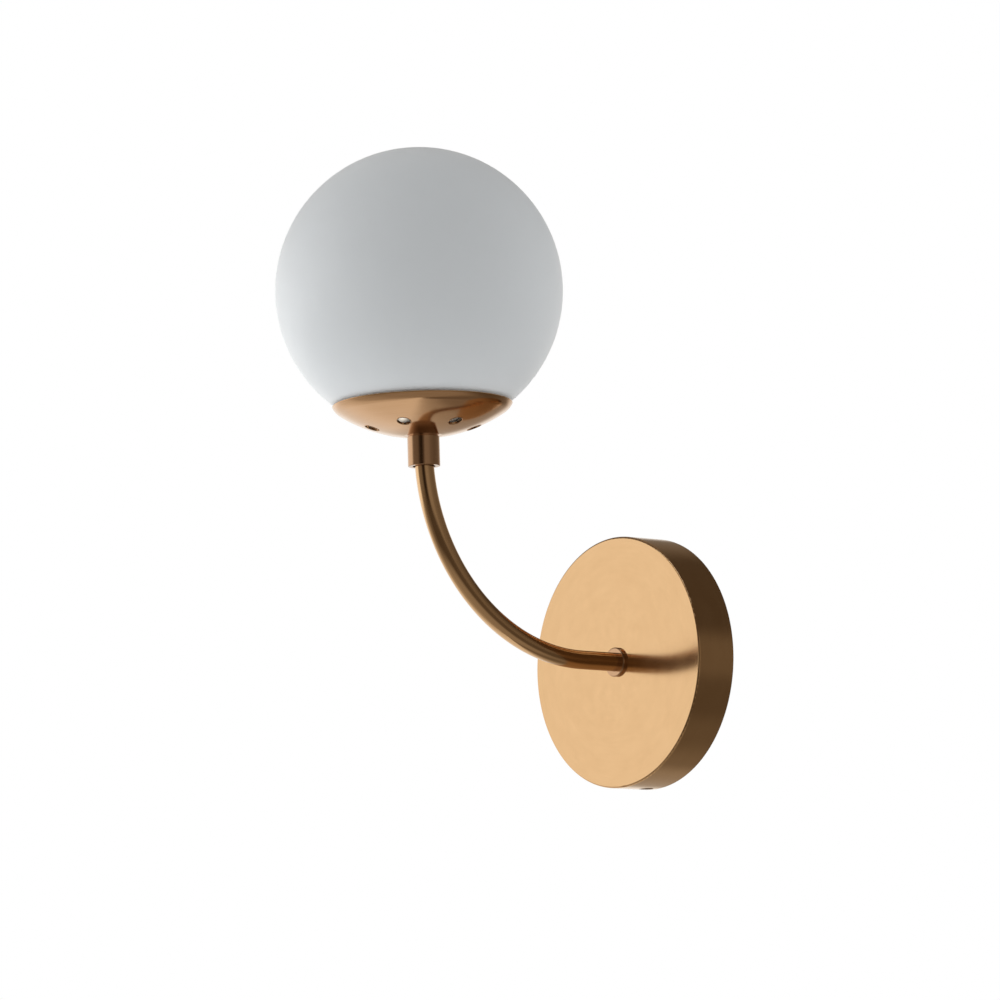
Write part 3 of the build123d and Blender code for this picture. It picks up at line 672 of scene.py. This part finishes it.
def rolled_wall(name, outline, pitch, foot, closed, finish, body):
    """Turned wall with its thread rolled in. The outline's points are (radius, height, swell)."""
    steps = 96
    shape = bmesh.new()
    rings = []
    for radius, height, swell in outline:
        ring = []
        for step in range(steps):
            angle = 2 * math.pi * step / steps
            reach = radius + swell * math.sin(2 * math.pi * height / pitch - angle)
            place = (
                lamp_axis.x + reach * math.cos(angle),
                lamp_axis.y + reach * math.sin(angle),
                foot + height,
            )
            ring.append(shape.verts.new(place))
        rings.append(ring)
    pairs = list(zip(rings, rings[1:]))
    if closed:
        pairs.append((rings[-1], rings[0]))
    else:
        shape.faces.new(rings[0])
        shape.faces.new(rings[-1])
    for first, second in pairs:
        for step in range(steps):
            after = (step + 1) % steps
            shape.faces.new((first[step], first[after], second[after], second[step]))
    return piece_of(name, shape, finish, body)


def threaded_stretch(radius, start, end, swell, fading):
    """Outline points up a threaded wall, its thread fading out at both ends."""
    count = 72
    points = []
    for step in range(count + 1):
        share = step / count
        fade = min(1.0, share * fading, (1 - share) * fading)
        points.append((radius, start + (end - start) * share, swell * fade))
    return points


def add_rolled_threads(finishes):
    """The bulb's screw cap and the holder's screw shell, with their rolled threads."""
    pitch = 2.82 * mm
    low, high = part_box("bulb_cap")
    tall = high[2] - low[2]
    crest = (high[0] - low[0]) / 2
    swell = 0.33 * mm
    outline = [
        (crest - 1.1 * mm, 0.0, 0.0),
        (crest - 0.8 * mm, 0.1 * mm, 0.0),
        (crest - 0.65 * mm, 0.4 * mm, 0.0),
    ]
    end = tall - 3.4 * mm
    outline += threaded_stretch(crest - swell, 0.9 * mm, end, swell, 12)
    outline += [
        (crest - 0.30 * mm, end + 0.5 * mm, 0.0),
        (crest - 0.12 * mm, end + 0.9 * mm, 0.0),
        (crest - 0.10 * mm, tall - 0.5 * mm, 0.0),
        (crest - 0.16 * mm, tall - 0.15 * mm, 0.0),
        (crest - 0.40 * mm, tall, 0.0),
    ]
    cap = rolled_wall(
        "bulb_screw_cap", outline, pitch, low[2], False, finishes["nickel"], "bulb"
    )
    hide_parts("bulb_cap")
    low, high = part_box("screw_shell")
    tall = high[2] - low[2]
    inside = 7.15 * mm
    wall = 0.35 * mm
    swell = 0.22 * mm
    inner = [
        (inside + swell, 0.0, 0.0),
        *threaded_stretch(inside + swell, 1.2 * mm, tall - 1.4 * mm, swell, 10),
        (inside + 0.3 * mm, tall - 0.5 * mm, 0.0),
        (inside + 0.5 * mm, tall, 0.0),
    ]
    outer = [(radius + wall, height, part) for radius, height, part in reversed(inner)]
    shell = rolled_wall(
        "holder_screw_shell",
        inner + outer,
        pitch,
        low[2],
        True,
        finishes["contact"],
        "wall_unit",
    )
    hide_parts("screw_shell")


# ---------------------------------------------------------------- studio
floor_height = -1.2

# Brightness round the room in degrees from the camera, positive towards the left. The metal
# reflects four bands of it: level with the eye, below it, far below it and above it.
level_light = [
    (-180, 1.0),
    (-158, 0.75),
    (-140, 0.32),
    (-118, 0.17),
    (-80, 0.14),
    (-60, 0.17),
    (-30, 0.26),
    (-12, 0.27),
    (3, 0.08),
    (12, 0.02),
    (24, 0.03),
    (44, 0.17),
    (76, 0.20),
    (96, 1.0),
    (180, 1.0),
]
low_light = [
    (-180, 0.42),
    (-166, 0.32),
    (-150, 0.16),
    (-116, 0.10),
    (-60, 0.10),
    (-5, 0.08),
    (35, 0.075),
    (60, 0.14),
    (105, 0.40),
    (125, 0.68),
    (150, 0.85),
    (170, 0.85),
    (180, 0.46),
]
underfoot_light = [
    (-180, 0.44),
    (-166, 0.34),
    (-150, 0.20),
    (-116, 0.14),
    (-60, 0.27),
    (60, 0.29),
    (105, 0.38),
    (125, 0.60),
    (150, 0.74),
    (170, 0.76),
    (180, 0.46),
]
high_light = [
    (-180, 0.20),
    (-142, 0.07),
    (-60, 0.07),
    (60, 0.08),
    (110, 0.12),
    (180, 0.25),
]
# What lights the glass and the other matt surfaces: at the eye's level, overhead and below.
soft_light = [
    (-180, 1.18),
    (-120, 0.86),
    (-70, 0.59),
    (0, 0.26),
    (45, 0.44),
    (80, 1.3),
    (130, 1.5),
    (180, 1.2),
]
light_overhead = 0.58
soft_low_light = [
    (-180, 1.56),
    (-70, 0.86),
    (0, 0.64),
    (45, 0.95),
    (90, 1.7),
    (180, 1.7),
]
# Heights of the direction of view between which one band of light turns into the next.
underfoot_edge = (-0.80, -0.55)
level_edge = (-0.30, -0.10)
overhead_edge = (0.16, 0.42)
soft_level_edge = (-0.3, 0.3)
soft_overhead_edge = (0.2, 0.9)


def add_floor():
    """A plain pale floor well below the light, which the metal doesn't reflect."""
    mesh = bpy.data.meshes.new("floor")
    reach = 8
    corners = [(x * reach, y * reach, floor_height) for x, y in ((-1, -1), (1, -1), (1, 1), (-1, 1))]
    mesh.from_pydata(corners, [], [(0, 1, 2, 3)])
    floor = bpy.data.objects.new("floor", mesh)
    bpy.context.scene.collection.objects.link(floor)
    material, _, _ = new_material("pale_floor", (0.80, 0.80, 0.80), roughness=0.8)
    mesh.materials.append(material)
    floor.visible_glossy = False
    floor.visible_diffuse = False


def room_colour(value):
    """White where the room is bright, turning to warm brown where it is dim."""
    return (value, 0.985 * value**1.1, 0.95 * value**1.22, 1)


def band_of_light(tree, share, stops, colour_of=grey):
    """Light round the room from a list of (degrees, brightness)."""
    places = [(degrees / 360 + 0.5, colour_of(value)) for degrees, value in stops]
    return ramp_node(tree, share, places, "EASE")


def smooth_step(tree, value, low, high):
    """0 below one value, 1 above the other and a soft turn between them."""
    made = add_node(
        tree,
        "ShaderNodeMapRange",
        {"Value": value, "From Min": low, "From Max": high},
        interpolation_type="SMOOTHSTEP",
    )
    return made.outputs[0]


def blend_colour(tree, share, first, second):
    """Goes from the first colour to the second as the share goes from 0 to 1."""
    made = add_node(tree, "ShaderNodeMix", {0: share, 6: first, 7: second}, data_type="RGBA")
    return made.outputs[2]


def add_studio():
    """A white room behind the light, with bright walls to its left and darkness at the camera."""
    world = bpy.data.worlds.new("studio")
    bpy.context.scene.world = world
    world.use_nodes = True
    tree = world.node_tree
    tree.nodes.clear()
    direction = add_node(tree, "ShaderNodeTexCoord").outputs["Generated"]
    x, y, z = add_node(tree, "ShaderNodeSeparateXYZ", {0: direction}).outputs
    camera_side = (math.sin(camera_turn), -math.cos(camera_turn))
    left_side = (-math.cos(camera_turn), -math.sin(camera_turn))
    to_camera, to_left = (
        math_node(tree, "MULTIPLY_ADD", x, side[0], math_node(tree, "MULTIPLY", y, side[1]))
        for side in (camera_side, left_side)
    )
    turn = math_node(tree, "ARCTAN2", to_left, to_camera)
    share = math_node(tree, "MULTIPLY_ADD", turn, 0.5 / math.pi, 0.5)
    underfoot, below, level, above = (
        band_of_light(tree, share, stops, room_colour)
        for stops in (underfoot_light, low_light, level_light, high_light)
    )
    below = blend_colour(tree, smooth_step(tree, z, *underfoot_edge), underfoot, below)
    mirrored = blend_colour(tree, smooth_step(tree, z, *level_edge), below, level)
    mirrored = blend_colour(tree, smooth_step(tree, z, *overhead_edge), mirrored, above)
    soft_below, soft_above = (
        band_of_light(tree, share, stops) for stops in (soft_low_light, soft_light)
    )
    soft = blend_colour(tree, smooth_step(tree, z, *soft_level_edge), soft_below, soft_above)
    soft = blend_colour(tree, smooth_step(tree, z, *soft_overhead_edge), soft, grey(light_overhead))
    paths = add_node(tree, "ShaderNodeLightPath").outputs
    lit = blend_colour(tree, paths["Is Glossy Ray"], soft, mirrored)
    seen = blend_colour(tree, paths["Is Camera Ray"], lit, grey(1.0))
    back = add_node(tree, "ShaderNodeBackground", {"Color": seen})
    out = add_node(tree, "ShaderNodeOutputWorld")
    tree.links.new(back.outputs[0], out.inputs[0])


def add_daylight_inside():
    """What the opal glass lets through, on the lampholder that shows in the vent holes."""
    ring = 19 * mm
    height = 122.5 * mm
    watts = 0.002
    for turn in (30, 150, 270):
        data = bpy.data.lights.new("inside_light", "POINT")
        data.energy = watts
        data.color = (1.0, 0.9, 0.78)
        data.shadow_soft_size = 2 * mm
        light = bpy.data.objects.new("inside_light", data)
        angle = math.radians(turn)
        light.location = (ring * math.cos(angle), lamp_axis.y + ring * math.sin(angle), height)
        light.visible_camera = False
        light.visible_glossy = False
        bpy.context.scene.collection.objects.link(light)


add_camera()
finishes = make_finishes()
dress_nodes(finishes)
add_threads(finishes)
add_vent_lips(finishes)
add_rolled_threads(finishes)
add_floor()
add_studio()
add_daylight_inside()
bpy.context.scene.view_settings.view_transform = "Standard"
